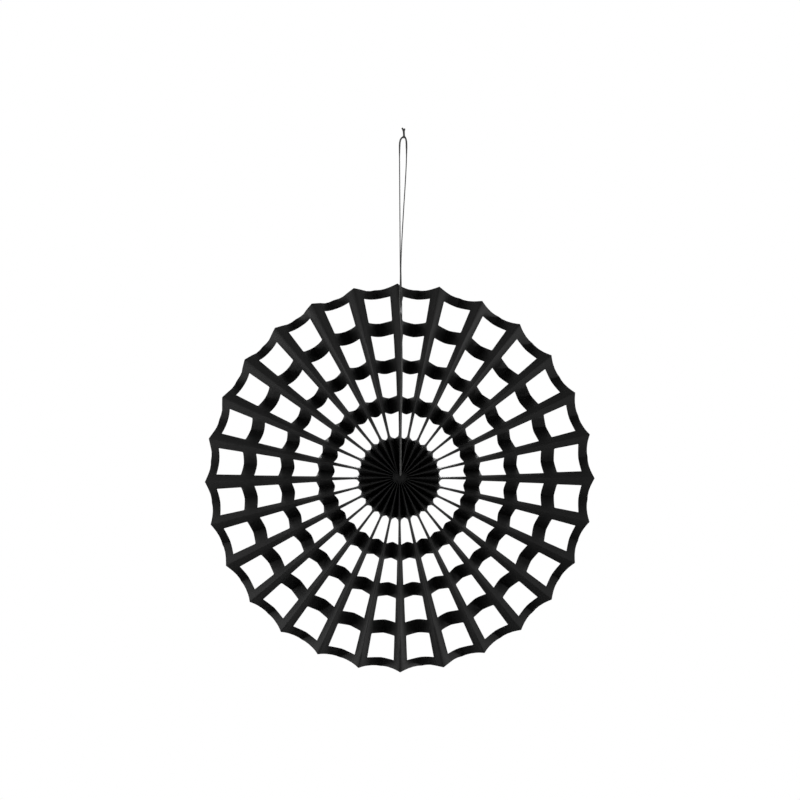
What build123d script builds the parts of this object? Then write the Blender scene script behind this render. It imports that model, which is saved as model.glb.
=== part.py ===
from build123d import *
import os
from math import pi, radians, sin, sqrt, tan

# Fan medallion of folded and cut card, hung upright. All sizes are in millimetres.
# +Z is up, the front faces -Y and the origin is the middle of the fan.

# The folded sheet
pleat_count = 28
rim_radius = 150.0  # middle of the fan to the tip of a front fold
rim_depth = 14.2  # front fold to back fold, measured front to back at the rim
card_thickness = 0.25
layer_gap = 0.086  # air between two layers where the folds are drawn together
crest_side = 0.15  # card left in line with a fold at its outer face

# The scalloped rim of one panel
rim_drop = 3.0  # how far the rim at a back fold stays inside the tips
rim_half_drop = 2.6  # the same, half way across a panel

# Four rows of windows, from the rim inwards
rim_band = 6.5
outer_bar = 10.0
middle_bar = 10.0
inner_bar = 12.1
disc_radius = 31.2  # the uncut middle, measured along a back fold
fold_dip = 1.7  # how far a window's edge falls inwards from the front fold to the back fold
first_margin = 7.3  # card left beside the front fold, in the outermost row
second_margin = 6.8
third_margin = 6.2
fourth_margin = 4.3
inner_corner = 1.2  # the innermost windows have their inner corners cut off

# The thread
thread_diameter = 0.8
hole_sides = 3  # a needle cuts a small three-cornered hole
hole_clearance = 0.163  # all round the thread, to the flats of its hole
hole_inset = 2.5  # edge of the core to the middle of the holes
strand_gap = 0.04  # between the two strands that lie side by side on the top fold
thread_sides = 6  # the hidden ring of thread is six-sided instead of round
knot_radius = 0.9
core_knot_radius = 2.5  # both ends are tied together inside the core

# The two strands leave the core in front, lie along the top fold and part above the rim.
# Each point is the middle between both strands: across, front to back, up.
pair_route = (
    (0.15, -5.5, 0.7),
    (0.2, -12.2, 0.7),
    (0.65, -11.8, 12.0),
    (1.15, -11.45, 45.0),
    (1.35, -10.4, 95.0),
    (0.6, -7.8, 150.0),
)
# Above the rim the thread goes up on the left, round through the knot and down on the right.
loop_route = (
    (0.1, -5.25, 200.0),
    (-0.6, -3.5, 238.0),
    (-0.55, -2.6, 256.0),
    (0.6, -2.3, 261.6),
    (3.4, -2.15, 264.0),
    (5.0, -2.3, 261.2),
    (5.25, -2.6, 254.0),
    (4.55, -3.5, 237.0),
    (2.7, -5.25, 200.0),
)
core_knot_middle = (0, -4.8, 0)
knot_middle = (3.24, -2.17, 263.4)
tail_tips = ((1.9, -1.9, 269.9), (3.5, -2.5, 269.1))

# Worked out from the sizes above
pleat_step = 360 / pleat_count
half_step = pleat_step / 2
panel_width = sqrt(rim_depth**2 + (rim_radius * sin(radians(half_step))) ** 2)
core_radius = 2 * pleat_count * (card_thickness + layer_gap) / (2 * pi)
hole_circle = core_radius + hole_inset
fold_rim = rim_radius - rim_drop
strand_offset = (thread_diameter + strand_gap) / 2
window_rows = (
    (rim_band, first_margin),
    (outer_bar, second_margin),
    (middle_bar, third_margin),
    (inner_bar, fourth_margin),
)
window_length = (fold_rim - sum(bar for bar, margin in window_rows) - disc_radius) / len(window_rows)


def depth_at(radius):
    """Front fold to back fold at a radius, because every panel is equally wide there."""
    return sqrt(panel_width**2 - (radius * sin(radians(half_step))) ** 2)


def panel_section(height):
    """The six corners of one panel's card, from a front fold to the next back fold, cut level."""
    side = height * tan(radians(half_step))
    deep = depth_at(height)
    crest = (card_thickness * panel_width - side * crest_side) / deep
    corners = (
        (0, -deep / 2),
        (crest, -deep / 2),
        (side, deep / 2 - crest_side),
        (side, deep / 2),
        (side - crest, deep / 2),
        (0, -deep / 2 + crest_side),
    )
    return [Vector(x, y, height) for x, y in corners]


def flat_face(*corners):
    return Face(Wire.make_polygon(corners, close=True))


def panel_plane(radius):
    """The plane of one panel at a radius: local x from front fold to back fold, local y outwards."""
    deep = depth_at(radius)
    front_fold = Vector(0, -deep / 2, radius)
    back_fold = Vector(0, deep / 2, radius).rotate(Axis.Y, half_step)
    outwards = Vector(0, 0, 1).rotate(Axis.Y, half_step / 2)
    across = back_fold - front_fold
    return Plane(origin=front_fold, x_dir=across, z_dir=across.cross(outwards))


def bend_radii(route):
    """The largest arc that fits each corner of a route."""
    radii = []
    for before, corner, after in zip(route, route[1:], route[2:]):
        run_in, run_out = Vector(*corner) - Vector(*before), Vector(*after) - Vector(*corner)
        half_turn = radians(run_in.get_angle(run_out) / 2)
        radii.append(0.45 * min(run_in.length, run_out.length) / tan(half_turn))
    return radii


# Each row's windows, from their inner edge to their outer edge along a back fold
window_spans = []
row_edge = fold_rim
for bar, margin in window_rows:
    top = row_edge - bar
    row_edge = top - window_length
    window_spans.append((row_edge, top, margin))

# The panel is flat-sided from one of these heights to the next, and the sheet twists a little more at each
overrun = 0.5
bar_middles = [
    (outer_row[0] + inner_row[1] + fold_dip) / 2
    for outer_row, inner_row in zip(window_spans, window_spans[1:])
]
stations = [core_radius, bar_middles[-1], bar_middles[0], rim_radius + overrun]

# One panel of card, from a front fold to a back fold
sections = [panel_section(height) for height in stations]
panel_faces = [flat_face(*sections[0]), flat_face(*sections[-1])]
for low, high in zip(sections, sections[1:]):
    for i in range(6):
        j = (i + 1) % 6
        if i == 1:
            panel_faces += [flat_face(low[i], low[j], high[i]), flat_face(low[j], high[j], high[i])]
        elif i == 4:
            panel_faces += [flat_face(low[i], low[j], high[j]), flat_face(low[i], high[j], high[i])]
        else:
            panel_faces.append(flat_face(low[i], low[j], high[j], high[i]))

waste = 2.0
with BuildPart() as panel:
    add(Solid(Shell(panel_faces)))
    # the scallop between two tips
    rim_height = rim_radius - rim_drop / 2
    rim_tip, rim_valley = rim_radius - rim_height, fold_rim - rim_height
    with BuildSketch(panel_plane(rim_height)):
        with BuildLine():
            half_way = (panel_width / 2, rim_radius - rim_half_drop - rim_height)
            ThreePointArc((0, rim_tip), half_way, (panel_width, rim_valley))
            Polyline(
                (panel_width, rim_valley),
                (panel_width + waste, rim_valley),
                (panel_width + waste, rim_tip + waste),
                (-waste, rim_tip + waste),
                (-waste, rim_tip),
                (0, rim_tip),
            )
        make_face()
    extrude(amount=waste, both=True, mode=Mode.SUBTRACT)
    # the windows, each cut across the back fold into the next panel
    for bottom, top, margin in window_spans:
        middle = (bottom + top) / 2
        half_length = (top - bottom) / 2
        margin_rise = fold_dip * (1 - margin / panel_width)
        past_fold = panel_width + waste
        past_rise = fold_dip * (1 - past_fold / panel_width)
        with BuildSketch(panel_plane(middle)) as window:
            Polygon(
                (margin, margin_rise - half_length),
                (past_fold, past_rise - half_length),
                (past_fold, past_rise + half_length),
                (margin, margin_rise + half_length),
                align=None,
            )
            if margin == fourth_margin:
                chamfer(window.vertices().group_by(Axis.X)[0].sort_by(Axis.Y)[0], inner_corner)
        extrude(amount=waste, both=True, mode=Mode.SUBTRACT)
    # the thread's hole
    with BuildSketch(panel_plane(hole_circle)):
        with Locations((panel_width / 2, 0)):
            RegularPolygon(thread_diameter / 2 + hole_clearance, hole_sides, major_radius=False)
    extrude(amount=waste / 2, both=True, mode=Mode.SUBTRACT)

with BuildPart() as pleat:
    add(panel.part)
    mirror(about=Plane.YZ)

with BuildPart() as fan_sheet:
    with Locations(*(Location((0, 0, 0), (0, turn * pleat_step, 0)) for turn in range(pleat_count))):
        add(pleat.part)

# The thread that is pulled through all the panels and holds the core together
with BuildPart() as draw_thread:
    with BuildSketch(Plane.XY):
        with Locations((hole_circle, 0)):
            RegularPolygon(thread_diameter / 2, thread_sides)
    revolve(axis=Axis.Y)

# The hanging thread: one length, with both ends tied in the core and a knot at the top
left_strand = [(x - strand_offset, y, z) for x, y, z in pair_route]
right_strand = [(x + strand_offset, y, z) for x, y, z in pair_route]
thread_route = [*left_strand, *loop_route, *right_strand[::-1]]
thread_bends = bend_radii(thread_route)
with BuildPart() as hang_thread:
    with BuildLine() as thread_line:
        FilletPolyline(*thread_route, radius=thread_bends)
    with BuildSketch(thread_line.line ^ 0):
        Circle(thread_diameter / 2)
    sweep()
    thread_volume = hang_thread.part.volume
    with Locations(knot_middle):
        Sphere(knot_radius)
    with Locations(core_knot_middle):
        Sphere(core_knot_radius)
    for tip in tail_tips:
        with BuildLine() as tail_line:
            Line(knot_middle, tip)
        with BuildSketch(tail_line.line ^ 0):
            Circle(thread_diameter / 2)
        sweep()

thread_length = thread_line.wires()[0].length
print("panel width", round(panel_width, 2), "core radius", round(core_radius, 2))
print("stations", [round(height, 1) for height in stations])
print("thread length", round(thread_length, 1), "bends", [round(radius, 1) for radius in thread_bends])
print("tube volume", round(thread_volume, 2), "section times length",
      round(pi * (thread_diameter / 2) ** 2 * thread_length, 2))

fan_sheet.part.label = "fan_sheet"
draw_thread.part.label = "draw_thread"
hang_thread.part.label = "hang_thread"
os.makedirs("parts", exist_ok=True)
export_step(fan_sheet.part, "parts/fan_sheet.step")
export_step(draw_thread.part, "parts/draw_thread.step")
export_step(hang_thread.part, "parts/hang_thread.step")
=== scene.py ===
"""Looks of a round hanging fan of pleated black card with cut windows, on a knotted cotton thread.

The fan stands upright at the origin: +Z up, front towards -Y. All sizes are in metres.
"""

import bpy
from math import cos, pi, radians, sin, sqrt
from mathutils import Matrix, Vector


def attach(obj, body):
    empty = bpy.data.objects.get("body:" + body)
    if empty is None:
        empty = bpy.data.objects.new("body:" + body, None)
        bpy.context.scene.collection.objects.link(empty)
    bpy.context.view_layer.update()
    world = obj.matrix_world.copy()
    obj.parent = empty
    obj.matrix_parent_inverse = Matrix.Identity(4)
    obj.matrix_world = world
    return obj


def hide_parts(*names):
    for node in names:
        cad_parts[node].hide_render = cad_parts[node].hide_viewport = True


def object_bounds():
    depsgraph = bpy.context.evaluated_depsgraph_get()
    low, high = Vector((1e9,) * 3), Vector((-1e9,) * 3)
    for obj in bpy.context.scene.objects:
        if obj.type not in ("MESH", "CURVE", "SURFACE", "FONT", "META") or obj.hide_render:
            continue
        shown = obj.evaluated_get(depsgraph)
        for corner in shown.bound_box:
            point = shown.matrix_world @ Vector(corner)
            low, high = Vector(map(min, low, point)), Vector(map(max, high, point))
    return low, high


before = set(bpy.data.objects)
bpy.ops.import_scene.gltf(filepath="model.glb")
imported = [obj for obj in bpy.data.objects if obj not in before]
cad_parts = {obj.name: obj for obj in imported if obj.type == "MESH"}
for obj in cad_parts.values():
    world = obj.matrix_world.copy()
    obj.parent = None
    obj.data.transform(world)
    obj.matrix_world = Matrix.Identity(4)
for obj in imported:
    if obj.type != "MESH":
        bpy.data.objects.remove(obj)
cad_low, cad_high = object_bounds()

MM = 0.001

# The folded sheet
PLEATS = 28
RIM_RADIUS = 150 * MM
RIM_DEPTH = 14.2 * MM
CARD = 0.25 * MM
CREST = 0.14 * MM  # half of the flat on top of a fold, to the middle of the card
PANEL_BULGE = 0.35  # how much less steep a panel is beside its folds than in its middle
HALF_STEP = pi / PLEATS
PANEL_WIDTH = sqrt(RIM_DEPTH**2 + (RIM_RADIUS * sin(HALF_STEP)) ** 2)
CORE_RADIUS = 0.15 * MM  # pulled together, the inner edges press on each other in the middle

# How unevenly the folds lie: they are turned, crowd together on one side and pass beside the middle.
# A side is an angle and a fold is a number, both counted anticlockwise from the top, seen from the front.
FAN_MIDDLE = (-0.5 * MM, 0.7 * MM)
FAN_TURN = radians(0.75)
CROWDING = radians(0.84)
CROWDING_SIDE = radians(68)
PAIRING = radians(0.25)
PAIRING_SIDE = radians(-76)
SWIRL = 0.35 * MM
SWIRL_SIDE = radians(85)
FOLD_TURNS = {  # single folds that are turned by themselves, in degrees
    0: 0.12, 1: -0.8, 2: -0.07, 5: 0.07, 8: -0.17,
    14: -0.24, 16: 0.13, 17: 0.17, 18: 0.12, 19: 0.08,
}

# How broad the front folds are, beside the even fan: broadest on the upper left
BREADTH = 0.03
BREADTH_CHANGE = 0.155
BREADTH_SIDE = radians(32)
BREADTH_PAIRING = 0.12
BROADER_FOLDS = {  # single folds that differ from their neighbours
    0: -0.15, 1: 0.1, 2: 0.18, 4: 0.1, 8: -0.04, 9: 0.12,
    14: 0.08, 15: 0.25, 16: -0.1, 21: 0.08, 23: 0.08,
}

# How far the rows of windows drift outwards: most on the lower left
DRIFT = -0.1 * MM
DRIFT_CHANGE = 0.66 * MM
DRIFT_SIDE = radians(121)
DRIFT_PAIRING = 0.25 * MM
DRIFT_PAIRING_SIDE = radians(112)
DRIFT_END = 141.5 * MM  # from here the drift fades out towards the tips

# The thread pulls the top fold over to the right and inwards, and its neighbours give way
TOP_LEAN = 3.6 * MM
LEAN_LENGTH = 160 * MM
LEAN_POWER = 1.6
LEAN_FADE = 3  # how fast the lean fades across the panels beside the top fold
NEIGHBOUR_SHIFT = {1: 1.2 * MM, PLEATS - 1: 0.6 * MM}
PULL_INWARDS = {0: 0.7 * MM, 0.5: 0.2 * MM, PLEATS - 0.5: 0.8 * MM}  # at the rim
RIGHT_NARROWING = 0.9 * MM  # the panel right of the top fold is bent away, most beside its windows

# The rim and the four rows of windows, from the middle outwards. A row's bow is how much further
# the panel right of the top fold is bent away beside that row.
RIM_DROP = 3.25 * MM
RIM_HALF_DROP = 2.85 * MM
FOLD_DIP = 1.95 * MM
INNER_EDGE_CURVE = 1.15
OUTER_EDGE_CURVE = 1.3
EDGE_SHADE_BAND = 0.8 * MM  # painted shade: the card's colour darkens towards its cut edges across this band, and grid rows run along it
WIDEST_BAND = 0.45  # the painted shade covers at most this share of the card beside a window
WINDOW_ROWS = (
    {"start": 31.15 * MM, "end": 50.1 * MM, "margin": 3.8 * MM, "corner": 3.0 * MM, "bow": 0},
    {"start": 62.6 * MM, "end": 81.4 * MM, "margin": 6.05 * MM, "corner": 0.8 * MM, "bow": 0},
    {"start": 91.8 * MM, "end": 110.5 * MM, "margin": 6.7 * MM, "corner": 0.8 * MM, "bow": 0.9 * MM},
    {"start": 120.87 * MM, "end": 139.8 * MM, "margin": 7.3 * MM, "corner": 0.8 * MM, "bow": 2.3 * MM},
)
DISC_RADIUS = WINDOW_ROWS[0]["start"]
SHARP_CORNER = 0.4 * MM
HOLE_CIRCLE = 5.5 * MM
HOLE_HALF = 0.62 * MM

# The grid that the sheet is made of: its rows run along the rim, its columns along the folds
TOUCH = 0.001 * MM  # nearer than this is the same place
CORE_ROW = 3 * MM  # between the edge of the core and the thread's holes
DISC_ROWS = 7  # between those holes and the innermost windows
CORNER_SHARE = 0.3  # of a rounded corner, where its edge has one more point
WINDOW_SHARES = (0.25, 0.4, 0.6, 0.75)  # of a window's length
RIM_SHARES = (0.36, 0.64)  # of the band between the outermost windows and the rim
MARGIN_SHARES = (0.2, 0.5)  # of the card between a front fold and a window
ACROSS_SHARES = (0.35, 0.7)  # of a window's width past its corner
MARGIN_COLUMN = 5  # the column along the windows' sides
CORNER_COLUMN = 7  # the column where their rounded corners end
MERGE_DISTANCE = 0.02 * MM
SMOOTH_ANGLE = radians(35)

# The thread: its two strands lie on each other along the top fold and part above the rim
PLIES = 3
PLY_RADIUS = 0.26 * MM
PLY_LAY = 0.21 * MM  # from the thread's middle to the middle of a ply
PLY_PITCH = 2.6 * MM
PLY_SIDES = 6
KNOT_FULLNESS = 0.6  # how much thicker the rubbed and fluffed thread is beside its knot
KNOT_REACH = 8 * MM  # how far from the knot it stays so thick; from twice as far it is as usual
RINGS_PER_TURN = 9
ROUTE_ORDER = 3
ROUTE_STEPS = 24
LEFT_ROUTE = (
    (-0.1, -5.5, 0.7),
    (-0.1, -12.2, 0.7),
    (0.0, -12.05, 12.0),
    (0.3, -11.75, 45.0),
    (1.05, -11.3, 78.0),
    (0.85, -10.6, 100.0),
    (0.6, -9.75, 118.0),
    (-0.95, -8.75, 134.0),
    (0.05, -8.2, 151.0),
    (-0.15, -7.2, 169.0),
    (-0.35, -5.4, 200.0),
    (-0.62, -3.5, 238.0),
    (-0.7, -2.6, 254.0),
)
TOP_ROUTE = (
    (-0.35, -2.3, 261.6),
    (2.78, -2.15, 264.0),
    (4.55, -2.3, 262.0),
)
RIGHT_ROUTE = (
    (0.2, -5.5, 0.7),
    (0.3, -11.4, 0.7),
    (0.4, -11.3, 12.0),
    (0.72, -11.05, 45.0),
    (1.5, -10.6, 78.0),
    (1.25, -9.9, 100.0),
    (1.05, -9.2, 118.0),
    (1.05, -8.5, 134.0),
    (0.55, -7.4, 151.0),
    (0.3, -6.5, 167.0),
    (2.0, -5.1, 200.0),
    (4.4, -3.5, 237.0),
    (4.85, -2.6, 254.0),
)
KNOT_MIDDLE = (2.75, -2.15, 263.5)
KNOT_RADIUS = 0.62 * MM
KNOT_STEPS = 36
LEFT_TAIL = ((2.75, -2.2, 264.0), (2.55, -2.4, 267.0), (2.3, -2.4, 268.6), (1.3, -2.2, 270.4))
RIGHT_TAIL = ((2.85, -2.0, 264.0), (2.85, -1.7, 267.0), (2.75, -1.7, 268.4), (3.3, -1.9, 270.0))
CORE_KNOT_MIDDLE = (0, -4.8, 0)
CORE_KNOT_RADIUS = 2.5 * MM
CORE_KNOT_ROUNDNESS = 3

# The camera: a long lens, with the fan below the middle of the frame
CAMERA_DISTANCE = 2.1
CAMERA_REACH = 20
SENSOR_WIDTH = 36
METRES_PER_PIXEL = 0.7724 * MM
FRAME_PIXELS = 800
FAN_PIXEL = (399.9, 477.9)

# The card's finish
CARD_COLOUR = (0.021, 0.021, 0.021)
EDGE_SHADE_TONE = 0.4  # painted shade: the card's colour is multiplied by this at its cut edges
CARD_GRAIN = (1, 0.35, 1)  # its fibres are longer along the folds
CARD_FIBRES = {"scale": 2200, "low": 0.88, "high": 1.12}
CARD_CLOUDS = {"scale": 90, "low": 0.93, "high": 1.07}
CARD_ROUGHNESS = {"scale": 1500, "low": 0.46, "high": 0.56}
CARD_GLOSS = 0.07
CARD_BUMP = {"distance": 0.03 * MM, "strength": 0.25}

# The cotton's finish
COTTON_COLOUR = (0.12, 0.12, 0.118)
COTTON_FIBRES = {"scale": 4000, "low": 0.8, "high": 1.2}
COTTON_LENGTHS = {"scale": 150, "low": 0.8, "high": 1.2}
COTTON_ROUGHNESS = 0.9
COTTON_GLOSS = 0.1
COTTON_FUZZ = 0.05
COTTON_FUZZ_ROUGHNESS = 0.5
COTTON_BUMP = {"distance": 0.04 * MM, "strength": 0.5}

# The noise in both
NOISE_DETAIL = 4
NOISE_ROUGHNESS = 0.6
NOISE_LOW = 0.3  # the noise's values from here to NOISE_HIGH are spread from a tone's low to its high
NOISE_HIGH = 0.7

# The floor and the light
FLOOR_SIZE = 1.8
FLOOR_FORWARD = 0.35
FLOOR_DROP = 0.2  # below the fan's lowest point
FLOOR_COLOUR = (0.8, 0.8, 0.8, 1)
FLOOR_ROUGHNESS = 0.9
SKY_COLOUR = (1, 1, 1, 1)
SKY_LIGHT = 0.01
LAMP_SIZE = 0.2
LAMPS = {
    "left_close": {"place": (-0.3, -0.06, 0.0), "power": 0.28},
    "left_near": {"place": (-0.6, -0.07, 0.0), "power": 0.6},
    "left_far": {"place": (-1.2, -0.3, 0.0), "power": 1.09},
    "left_low": {"place": (-1.2, -0.07, -0.22), "power": 4.55},
    "left_high": {"place": (-0.5, -0.3, 0.25), "power": 0.4},
    "right_high": {"place": (0.5, -0.3, 0.25), "power": 0.45},
    "right_low": {"place": (1.2, -0.3, -0.25), "power": 4.28},
    "right_grazing": {"place": (1.2, -0.134, -0.22), "power": 5.44},
    "behind": {"place": (0.0, 1.2, 0.4), "power": 4.0},
}


def deselect_all():
    bpy.ops.object.select_all(action="DESELECT")


def mesh_from(name, points, faces):
    mesh = bpy.data.meshes.new(name)
    mesh.from_pydata(points, [], faces)
    piece = bpy.data.objects.new(name, mesh)
    bpy.context.collection.objects.link(piece)
    return piece


def make_active(piece):
    deselect_all()
    piece.select_set(True)
    bpy.context.view_layer.objects.active = piece


def depth_at(radius):
    return sqrt(PANEL_WIDTH**2 - (radius * sin(HALF_STEP)) ** 2)


def fold_line(fold):
    """How a fold runs: its direction, and how far it passes beside the middle.

    Whole numbers are front folds and halves are the back folds between them.
    """
    even = fold * 2 * HALF_STEP
    crowding = CROWDING * cos(even - CROWDING_SIDE) + PAIRING * cos(2 * even - PAIRING_SIDE)
    direction = even + FAN_TURN + crowding + radians(FOLD_TURNS.get(fold % PLEATS, 0))
    aside = NEIGHBOUR_SHIFT.get(fold, 0) - SWIRL * (1 - cos(2 * even - SWIRL_SIDE))
    return direction, aside


def drift(fold, radius):
    """How much further out the windows lie than in an even fan: none in the middle and at the tips."""
    even = fold * 2 * HALF_STEP
    share = min(radius / DISC_RADIUS, (RIM_RADIUS - radius) / (RIM_RADIUS - DRIFT_END), 1)
    waves = DRIFT_CHANGE * cos(even - DRIFT_SIDE) + DRIFT_PAIRING * cos(2 * even - DRIFT_PAIRING_SIDE)
    return (DRIFT + waves) * max(share, 0)


def fold_point(fold, radius, sideways, depth):
    """A point beside a fold: sideways is anticlockwise along the rim, depth towards the back."""
    direction, aside = fold_line(fold)
    sideways += aside
    radius += drift(fold, radius) - PULL_INWARDS.get(fold % PLEATS, 0) * radius / RIM_RADIUS
    return Vector(
        (
            FAN_MIDDLE[0] - radius * sin(direction) - sideways * cos(direction),
            depth,
            FAN_MIDDLE[1] + radius * cos(direction) - sideways * sin(direction),
        )
    )


def top_lean(radius):
    return TOP_LEAN * sin(pi * (radius / LEAN_LENGTH) ** LEAN_POWER)


def right_bend(radius, share):
    """How far the panel right of the top fold is bent back towards the fold."""
    bend = RIGHT_NARROWING * radius / RIM_RADIUS
    window = window_at(radius)
    if window:
        length = window["end"] - window["start"]
        bend += window["bow"] * sin(pi * (radius - window["start"]) / length)
    return bend * sin(pi * share)


def fold_breadth(front, radius):
    """How broad and blunt a front fold is: both its panels stand off it to the sides by so much."""
    even = front * 2 * HALF_STEP
    breadth = BREADTH + BREADTH_CHANGE * cos(even - BREADTH_SIDE) + BREADTH_PAIRING * sin(2 * even)
    return (breadth + BROADER_FOLDS.get(front % PLEATS, 0)) * sqrt(radius / RIM_RADIUS)


def panel_point(front, back, across, along):
    """A point of the panel between a front fold and the back fold next to it."""
    turn = 1 if back > front else -1
    half_depth = depth_at(along) / 2 - CARD / 2
    share = min(max(across / PANEL_WIDTH, 0), 1)
    lean = -top_lean(along) * (1 - share) ** LEAN_FADE if front % PLEATS == 0 else 0
    if front == PLEATS:
        lean += right_bend(along, share)
    if across < 0:
        return fold_point(front, along, lean, -half_depth)
    if across > PANEL_WIDTH:
        return fold_point(back, along, 0, half_depth)
    front_shoulder = fold_point(front, along, turn * CREST + lean, -half_depth)
    back_shoulder = fold_point(back, along, -turn * CREST + lean, half_depth)
    wave = sin(2 * pi * share) / (2 * pi)
    place = front_shoulder.lerp(back_shoulder, share + fold_breadth(front, along) * wave)
    place.y = half_depth * (2 * (share - PANEL_BULGE * wave) - 1)
    return place


def flat_rows():
    """The rows of the sheet's grid, from the core to the rim.

    Each has its height along a back fold, the margin and corner of the windows that it passes,
    how far it dips towards the back fold and how round that dip is.
    """
    hole = {"margin": PANEL_WIDTH / 2 - HOLE_HALF, "corner": 2 * HOLE_HALF}
    rows = [
        {"height": height, "dip": 0.0, "curve": 1.0, **hole}
        for height in (CORE_RADIUS, CORE_ROW, HOLE_CIRCLE - HOLE_HALF, HOLE_CIRCLE + HOLE_HALF)
    ]
    first = WINDOW_ROWS[0]
    start = HOLE_CIRCLE + HOLE_HALF
    for i in range(DISC_ROWS):
        share = (i + 1) / (DISC_ROWS + 1)
        last = i == DISC_ROWS - 1
        rows.append(
            {
                "height": DISC_RADIUS - EDGE_SHADE_BAND if last else start + (DISC_RADIUS - start) * share,
                "margin": hole["margin"] + (first["margin"] - hole["margin"]) * (1 if last else share),
                "corner": hole["corner"] + (first["corner"] - hole["corner"]) * (1 if last else share),
                "dip": FOLD_DIP * share,
                "curve": INNER_EDGE_CURVE,
            }
        )
    for row, after in zip(WINDOW_ROWS, WINDOW_ROWS[1:] + (None,)):
        bottom, top, corner = row["start"], row["end"], row["corner"]
        length = top - bottom
        heights = [bottom, bottom + corner * CORNER_SHARE, bottom + corner]
        heights += [bottom + length * share for share in WINDOW_SHARES]
        heights += [top - SHARP_CORNER, top]
        for height in heights:
            share = (height - bottom) / length
            rows.append(
                {
                    "height": height,
                    "margin": row["margin"],
                    "corner": corner,
                    "dip": FOLD_DIP,
                    "curve": INNER_EDGE_CURVE + (OUTER_EDGE_CURVE - INNER_EDGE_CURVE) * share,
                }
            )
        if not after:
            continue
        bar = after["start"] - top
        for height in (top + EDGE_SHADE_BAND, top + bar / 3, top + bar * 2 / 3, top + bar - EDGE_SHADE_BAND):
            share = (height - top) / bar
            rows.append(
                {
                    "height": height,
                    "margin": row["margin"] + (after["margin"] - row["margin"]) * share,
                    "corner": row["corner"] + (after["corner"] - row["corner"]) * share,
                    "dip": FOLD_DIP,
                    "curve": OUTER_EDGE_CURVE + (INNER_EDGE_CURVE - OUTER_EDGE_CURVE) * share,
                }
            )
    last = WINDOW_ROWS[-1]
    band = RIM_RADIUS - RIM_DROP - last["end"]
    for rise in (EDGE_SHADE_BAND, *(band * share for share in RIM_SHARES), band - EDGE_SHADE_BAND, band):
        rows.append(
            {
                "height": last["end"] + rise,
                "margin": last["margin"],
                "corner": last["corner"],
                "dip": FOLD_DIP,
                "curve": OUTER_EDGE_CURVE,
                "rim": rise / band,
            }
        )
    return rows


def edge_shade_band(row):
    """The band of painted shade beside a window, as wide to the eye on a steep panel as on a flat one."""
    foreshortening = PANEL_WIDTH / (max(row["height"], DISC_RADIUS) * sin(HALF_STEP))
    return min(EDGE_SHADE_BAND * foreshortening, row["margin"] * WIDEST_BAND)


def columns(row):
    """Where the grid's columns cross a row of one panel, from the crest in front to the crest behind."""
    margin, corner = row["margin"], row["corner"]
    past_corner = margin + corner
    return (
        -CREST,
        0.0,
        *(margin * share for share in MARGIN_SHARES),
        margin - edge_shade_band(row),
        margin,
        margin + corner * CORNER_SHARE,
        past_corner,
        *(past_corner + (PANEL_WIDTH - past_corner) * share for share in ACROSS_SHARES),
        PANEL_WIDTH,
        PANEL_WIDTH + CREST,
    )


def rim_drop(share):
    """How far the scallop lies inside the tips: an arc through three points, nearly a parabola."""
    bend = 4 * RIM_HALF_DROP - RIM_DROP
    return share * bend + share**2 * (RIM_DROP - bend)


def flat_height(row, across):
    share = min(max(across / PANEL_WIDTH, 0), 1)
    dip = row["dip"] * (1 - share) ** row["curve"]
    if "rim" not in row:
        return row["height"] + dip
    rim = RIM_RADIUS - rim_drop(share)
    window_top = WINDOW_ROWS[-1]["end"] + dip
    return window_top + (rim - window_top) * row["rim"]


def window_at(height):
    """The window row whose length holds a height."""
    for row in WINDOW_ROWS:
        if row["start"] - TOUCH < height < row["end"] + TOUCH:
            return row
    return None


def is_cut(rows, j, column):
    """Whether a cell of the grid is cut away: the windows and the thread's holes."""
    middle = (rows[j]["height"] + rows[j + 1]["height"]) / 2
    if abs(middle - HOLE_CIRCLE) < HOLE_HALF:
        return MARGIN_COLUMN <= column < CORNER_COLUMN
    return bool(window_at(middle)) and column >= MARGIN_COLUMN


def round_corner(row, column, across, height):
    """Moves the grid points near a window's corner, so that its edge runs round the corner."""
    window = window_at(row["height"])
    if not window or not MARGIN_COLUMN <= column < CORNER_COLUMN:
        return across, height
    corner = window["corner"]
    into = across - window["margin"]
    above = row["height"] - window["start"]
    if above < corner - TOUCH and into < corner - TOUCH:
        if above < TOUCH:
            return across, height + corner_rise(corner, into)
        if into < TOUCH:
            return across + corner_rise(corner, above), height
    return across, height


def corner_rise(corner, run):
    """How far a quarter circle stands off a square corner's side, at a run along that side."""
    return corner - sqrt(corner**2 - (corner - run) ** 2)


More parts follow.
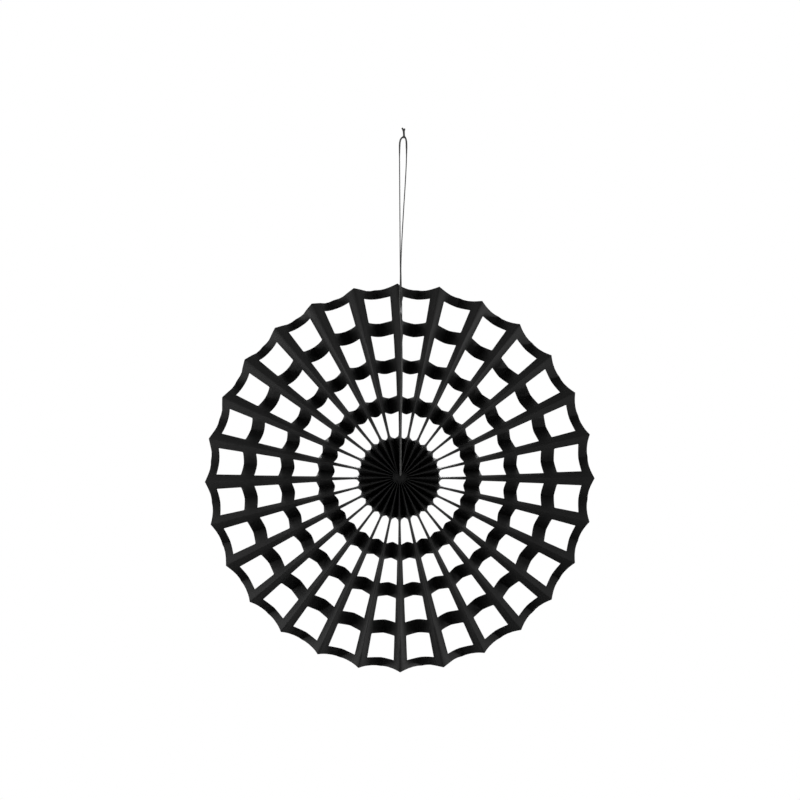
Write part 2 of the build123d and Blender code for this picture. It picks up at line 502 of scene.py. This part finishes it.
def folded_fan():
    """The sheet: a grid for each panel, folded and cut, then joined and given the card's thickness."""
    rows = flat_rows()
    lines = len(columns(rows[0]))
    points, flat, faces = [], [], []
    for panel in range(2 * PLEATS):
        front = (panel + 1) // 2
        back = panel // 2 + 0.5
        base = len(points)
        for j, row in enumerate(rows):
            for column, across in enumerate(columns(row)):
                height = flat_height(row, across)
                across, height = round_corner(row, column, across, height)
                points.append(panel_point(front, back, across, height))
                from_left = across if panel % 2 == 0 else PANEL_WIDTH - across
                flat.append((panel * PANEL_WIDTH + from_left, height))
        for j in range(len(rows) - 1):
            for column in range(lines - 1):
                if is_cut(rows, j, column):
                    continue
                a = base + j * lines + column
                face = (a, a + 1, a + lines + 1, a + lines)
                faces.append(face if panel % 2 else face[::-1])
    piece = mesh_from("folded_fan", points, faces)
    sheet_map = piece.data.uv_layers.new(name="sheet")
    for loop in piece.data.loops:
        sheet_map.data[loop.index].uv = flat[loop.vertex_index]
    make_active(piece)
    bpy.ops.object.mode_set(mode="EDIT")
    bpy.ops.mesh.select_all(action="SELECT")
    bpy.ops.mesh.remove_doubles(threshold=MERGE_DISTANCE)
    bpy.ops.mesh.normals_make_consistent(inside=False)
    bpy.ops.object.mode_set(mode="OBJECT")
    mark_cut_edges(piece)
    thicken = piece.modifiers.new("card", "SOLIDIFY")
    thicken.thickness = CARD
    thicken.offset = 0
    bpy.ops.object.modifier_apply(modifier=thicken.name)
    bpy.ops.object.shade_smooth_by_angle(angle=SMOOTH_ANGLE)
    return piece


def mark_cut_edges(piece):
    """Stores 1 at every point on a cut edge and 0 elsewhere, as the mask of the painted shade along the
    cut edges.
    """
    mesh = piece.data
    uses = {}
    for face in mesh.polygons:
        for key in face.edge_keys:
            uses[key] = uses.get(key, 0) + 1
    marks = mesh.attributes.new("cut_edge", "FLOAT", "POINT")
    for key, count in uses.items():
        if count == 1:
            marks.data[key[0]].value = 1.0
            marks.data[key[1]].value = 1.0


def tone_group():
    """A shared effect: an uneven tone between two values, from fine noise."""
    group = bpy.data.node_groups.new("uneven_tone", "ShaderNodeTree")
    group.interface.new_socket("Vector", in_out="INPUT", socket_type="NodeSocketVector")
    for name in ("Scale", "Low", "High"):
        group.interface.new_socket(name, in_out="INPUT", socket_type="NodeSocketFloat")
    group.interface.new_socket("Tone", in_out="OUTPUT", socket_type="NodeSocketFloat")
    nodes, links = group.nodes, group.links
    start, end = nodes.new("NodeGroupInput"), nodes.new("NodeGroupOutput")
    noise = nodes.new("ShaderNodeTexNoise")
    noise.inputs["Detail"].default_value = NOISE_DETAIL
    noise.inputs["Roughness"].default_value = NOISE_ROUGHNESS
    spread = nodes.new("ShaderNodeMapRange")
    spread.inputs["From Min"].default_value = NOISE_LOW
    spread.inputs["From Max"].default_value = NOISE_HIGH
    links.new(start.outputs["Vector"], noise.inputs["Vector"])
    links.new(start.outputs["Scale"], noise.inputs["Scale"])
    links.new(noise.outputs["Fac"], spread.inputs["Value"])
    links.new(start.outputs["Low"], spread.inputs["To Min"])
    links.new(start.outputs["High"], spread.inputs["To Max"])
    links.new(spread.outputs["Result"], end.inputs["Tone"])
    return group


def add_tone(tree, vector, scale, low, high):
    """One copy of the uneven tone in a material; gives its output."""
    node = tree.nodes.new("ShaderNodeGroup")
    node.node_tree = uneven_tone
    tree.links.new(vector, node.inputs["Vector"])
    node.inputs["Scale"].default_value = scale
    node.inputs["Low"].default_value = low
    node.inputs["High"].default_value = high
    return node.outputs["Tone"]


def multiplied(tree, *values):
    """The product of some values of a material."""
    result = values[0]
    for value in values[1:]:
        node = tree.nodes.new("ShaderNodeMath")
        node.operation = "MULTIPLY"
        tree.links.new(result, node.inputs[0])
        tree.links.new(value, node.inputs[1])
        result = node.outputs[0]
    return result


def tinted(tree, value, tint):
    """A colour: a tint made darker or lighter by a value."""
    node = tree.nodes.new("ShaderNodeVectorMath")
    node.operation = "SCALE"
    node.inputs[0].default_value = tint
    tree.links.new(value, node.inputs["Scale"])
    return node.outputs["Vector"]


def add_bump(tree, height, distance, strength):
    node = tree.nodes.new("ShaderNodeBump")
    node.inputs["Distance"].default_value = distance
    node.inputs["Strength"].default_value = strength
    tree.links.new(height, node.inputs["Height"])
    return node.outputs["Normal"]


def card_material():
    """Black dyed card: fine fibres along the folds and a faint sheen, with painted shade darkening its
    cut edges.
    """
    material = bpy.data.materials.new("black_card")
    material.use_nodes = True
    tree = material.node_tree
    nodes, links = tree.nodes, tree.links
    shader = nodes["Principled BSDF"]
    sheet = nodes.new("ShaderNodeUVMap")
    sheet.uv_map = "sheet"
    grain = nodes.new("ShaderNodeMapping")
    grain.inputs["Scale"].default_value = CARD_GRAIN
    links.new(sheet.outputs["UV"], grain.inputs["Vector"])
    fibres = add_tone(tree, grain.outputs["Vector"], **CARD_FIBRES)
    clouds = add_tone(tree, sheet.outputs["UV"], **CARD_CLOUDS)
    # painted shade: the colour is darkened along the cut edges, where the deeper margins fall into shade
    edge = nodes.new("ShaderNodeAttribute")
    edge.attribute_name = "cut_edge"
    darker = nodes.new("ShaderNodeMapRange")
    darker.inputs["To Min"].default_value = 1.0
    darker.inputs["To Max"].default_value = EDGE_SHADE_TONE
    links.new(edge.outputs["Fac"], darker.inputs["Value"])
    tone = multiplied(tree, fibres, clouds, darker.outputs["Result"])
    links.new(tinted(tree, tone, CARD_COLOUR), shader.inputs["Base Color"])
    links.new(add_tone(tree, grain.outputs["Vector"], **CARD_ROUGHNESS), shader.inputs["Roughness"])
    shader.inputs["Specular IOR Level"].default_value = CARD_GLOSS
    links.new(add_bump(tree, fibres, **CARD_BUMP), shader.inputs["Normal"])
    return material


def thread_material():
    """Grey-black cotton: soft, a little uneven along its plies, with a short fuzz."""
    material = bpy.data.materials.new("dark_thread")
    material.use_nodes = True
    tree = material.node_tree
    nodes, links = tree.nodes, tree.links
    shader = nodes["Principled BSDF"]
    place = nodes.new("ShaderNodeTexCoord")
    fibres = add_tone(tree, place.outputs["Object"], **COTTON_FIBRES)
    lengths = add_tone(tree, place.outputs["Object"], **COTTON_LENGTHS)
    tone = multiplied(tree, fibres, lengths)
    links.new(tinted(tree, tone, COTTON_COLOUR), shader.inputs["Base Color"])
    shader.inputs["Roughness"].default_value = COTTON_ROUGHNESS
    shader.inputs["Specular IOR Level"].default_value = COTTON_GLOSS
    shader.inputs["Sheen Weight"].default_value = COTTON_FUZZ
    shader.inputs["Sheen Roughness"].default_value = COTTON_FUZZ_ROUGHNESS
    links.new(add_bump(tree, fibres, **COTTON_BUMP), shader.inputs["Normal"])
    return material


def in_metres(route):
    return [(x * MM, y * MM, z * MM) for x, y, z in route]


def thread_route():
    return in_metres((*LEFT_ROUTE, *TOP_ROUTE, *RIGHT_ROUTE[::-1]))


def route_points(name, route):
    """Points along a smooth line through the route, read from its spline."""
    curve = bpy.data.curves.new(name, "CURVE")
    curve.dimensions = "3D"
    spline = curve.splines.new("NURBS")
    spline.points.add(len(route) - 1)
    for point, place in zip(spline.points, route):
        point.co = (*place, 1)
    spline.order_u = ROUTE_ORDER
    spline.use_endpoint_u = True
    spline.resolution_u = ROUTE_STEPS
    line = bpy.data.objects.new(name, curve)
    bpy.context.collection.objects.link(line)
    depsgraph = bpy.context.evaluated_depsgraph_get()
    mesh = bpy.data.meshes.new_from_object(line.evaluated_get(depsgraph))
    points = [vertex.co.copy() for vertex in mesh.vertices]
    bpy.data.meshes.remove(mesh)
    bpy.data.objects.remove(line)
    return points


def evenly(points, step):
    """Points at even steps along a line of points."""
    even, walked, due = [points[0].copy()], 0.0, step
    for start, end in zip(points, points[1:]):
        run = (end - start).length
        while run > 0 and walked + run >= due:
            even.append(start.lerp(end, (due - walked) / run))
            due += step
        walked += run
    even.append(points[-1].copy())
    return even


def fullness(place):
    """How thick the thread is at a place, beside its usual thickness."""
    distance = (place - Vector(KNOT_MIDDLE) * MM).length
    return 1 + KNOT_FULLNESS * min(max(2 - distance / KNOT_REACH, 0), 1)


def twisted_tubes(points):
    """The points and faces of twisted plies along a line."""
    line = evenly(points, PLY_PITCH / RINGS_PER_TURN)
    rings = len(line)
    verts, faces = [], []
    for strand in range(PLIES):
        normal = Vector((0, -1, 0))
        base = len(verts)
        for i, place in enumerate(line):
            ahead, behind = line[min(i + 1, rings - 1)], line[max(i - 1, 0)]
            tangent = (ahead - behind).normalized()
            normal = (normal - tangent * normal.dot(tangent)).normalized()
            binormal = tangent.cross(normal)
            turn = 2 * pi * (i / RINGS_PER_TURN + strand / PLIES)
            full = fullness(place)
            centre = place + (normal * cos(turn) + binormal * sin(turn)) * PLY_LAY * full
            for side in range(PLY_SIDES):
                angle = 2 * pi * side / PLY_SIDES + turn
                outwards = normal * cos(angle) + binormal * sin(angle)
                verts.append(centre + outwards * PLY_RADIUS * full)
        for i in range(rings - 1):
            for side in range(PLY_SIDES):
                a = base + i * PLY_SIDES + side
                b = base + i * PLY_SIDES + (side + 1) % PLY_SIDES
                faces.append((a, b, b + PLY_SIDES, a + PLY_SIDES))
        faces.append([base + side for side in range(PLY_SIDES)][::-1])
        faces.append([base + (rings - 1) * PLY_SIDES + side for side in range(PLY_SIDES)])
    return verts, faces


def twisted(name, *lines):
    """One piece of thread along one or more lines."""
    verts, faces = [], []
    for points in lines:
        more_verts, more_faces = twisted_tubes(points)
        faces += [[len(verts) + index for index in face] for face in more_faces]
        verts += more_verts
    piece = mesh_from(name, verts, faces)
    make_active(piece)
    bpy.ops.object.mode_set(mode="EDIT")
    bpy.ops.mesh.select_all(action="SELECT")
    bpy.ops.mesh.normals_make_consistent(inside=False)
    bpy.ops.object.mode_set(mode="OBJECT")
    bpy.ops.object.shade_smooth()
    return piece


def loop_knot():
    """The small knot at the top of the loop, where the strands turn round each other, with its tails."""
    middle = Vector(KNOT_MIDDLE) * MM
    turns = []
    for i in range(KNOT_STEPS + 1):
        t = 2 * pi * i / KNOT_STEPS
        across = (sin(t) + 2 * sin(2 * t)) / 3
        up = (cos(t) - 2 * cos(2 * t)) / 3
        turns.append(middle + Vector((across, -sin(3 * t) / 2, up)) * KNOT_RADIUS)
    left_tail = route_points("left_tail_line", in_metres(LEFT_TAIL))
    right_tail = route_points("right_tail_line", in_metres(RIGHT_TAIL))
    return twisted("loop_knot", turns, left_tail, right_tail)


def hidden_knot():
    """The knot inside the core, out of sight."""
    deselect_all()
    place = Vector(CORE_KNOT_MIDDLE) * MM
    bpy.ops.mesh.primitive_ico_sphere_add(
        subdivisions=CORE_KNOT_ROUNDNESS, radius=CORE_KNOT_RADIUS, location=place
    )
    piece = bpy.context.object
    piece.name = "core_knot"
    bpy.ops.object.transform_apply(location=True, rotation=True, scale=True)
    bpy.ops.object.shade_smooth()
    return piece


def add_camera():
    data = bpy.data.cameras.new("camera")
    camera = bpy.data.objects.new("camera", data)
    bpy.context.collection.objects.link(camera)
    bpy.context.scene.camera = camera
    data.sensor_width = SENSOR_WIDTH
    width = FRAME_PIXELS * METRES_PER_PIXEL
    data.lens = data.sensor_width * CAMERA_DISTANCE / width
    camera.location = (0, -CAMERA_DISTANCE, 0)
    camera.rotation_euler = (pi / 2, 0, 0)
    middle = (FRAME_PIXELS - 1) / 2
    data.shift_x = -(FAN_PIXEL[0] - middle) / FRAME_PIXELS
    data.shift_y = (FAN_PIXEL[1] - middle) / FRAME_PIXELS
    data.clip_end = CAMERA_REACH


def add_lamp(name, place, power):
    data = bpy.data.lights.new(name, "AREA")
    data.shape = "DISK"
    data.size = LAMP_SIZE
    data.energy = power
    lamp = bpy.data.objects.new(name, data)
    bpy.context.collection.objects.link(lamp)
    lamp.location = place
    lamp.rotation_euler = (-Vector(place)).to_track_quat("-Z", "Y").to_euler()


def add_world():
    world = bpy.data.worlds.new("studio")
    bpy.context.scene.world = world
    world.use_nodes = True
    nodes, links = world.node_tree.nodes, world.node_tree.links
    background = nodes["Background"]
    path = nodes.new("ShaderNodeLightPath")
    seen = nodes.new("ShaderNodeMath")
    seen.operation = "MAXIMUM"
    links.new(path.outputs["Is Camera Ray"], seen.inputs[0])
    links.new(path.outputs["Is Glossy Ray"], seen.inputs[1])
    also = nodes.new("ShaderNodeMath")
    also.operation = "MAXIMUM"
    links.new(seen.outputs[0], also.inputs[0])
    links.new(path.outputs["Is Transmission Ray"], also.inputs[1])
    strength = nodes.new("ShaderNodeMapRange")
    strength.inputs["To Min"].default_value = SKY_LIGHT
    strength.inputs["To Max"].default_value = 1.0
    links.new(also.outputs[0], strength.inputs["Value"])
    links.new(strength.outputs["Result"], background.inputs["Strength"])
    background.inputs["Color"].default_value = SKY_COLOUR


def add_floor():
    deselect_all()
    place = (0, -FLOOR_FORWARD, cad_low.z - FLOOR_DROP)
    bpy.ops.mesh.primitive_plane_add(size=FLOOR_SIZE, location=place)
    floor = bpy.context.object
    floor.name = "floor"
    material = bpy.data.materials.new("pale_floor")
    material.use_nodes = True
    shader = material.node_tree.nodes["Principled BSDF"]
    shader.inputs["Base Color"].default_value = FLOOR_COLOUR
    shader.inputs["Roughness"].default_value = FLOOR_ROUGHNESS
    floor.data.materials.append(material)


uneven_tone = tone_group()
card = card_material()
cotton = thread_material()

fan = folded_fan()
fan.data.materials.append(card)
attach(fan, "root")
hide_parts("fan_sheet")

line = route_points("thread_line", thread_route())
thread = twisted("hanging_thread", line)
knot = loop_knot()
core_knot = hidden_knot()
for piece in (thread, knot, core_knot):
    piece.data.materials.append(cotton)
    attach(piece, "root")
    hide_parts("hang_thread")
[tuple(point) for point in evenly(line, 1.5 * MM)]

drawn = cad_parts["draw_thread"]
drawn.data.materials.clear()
drawn.data.materials.append(cotton)

add_camera()
add_world()
add_floor()
for lamp_name, lamp in LAMPS.items():
    add_lamp(lamp_name, lamp["place"], lamp["power"])
bpy.context.scene.view_settings.view_transform = "Standard"
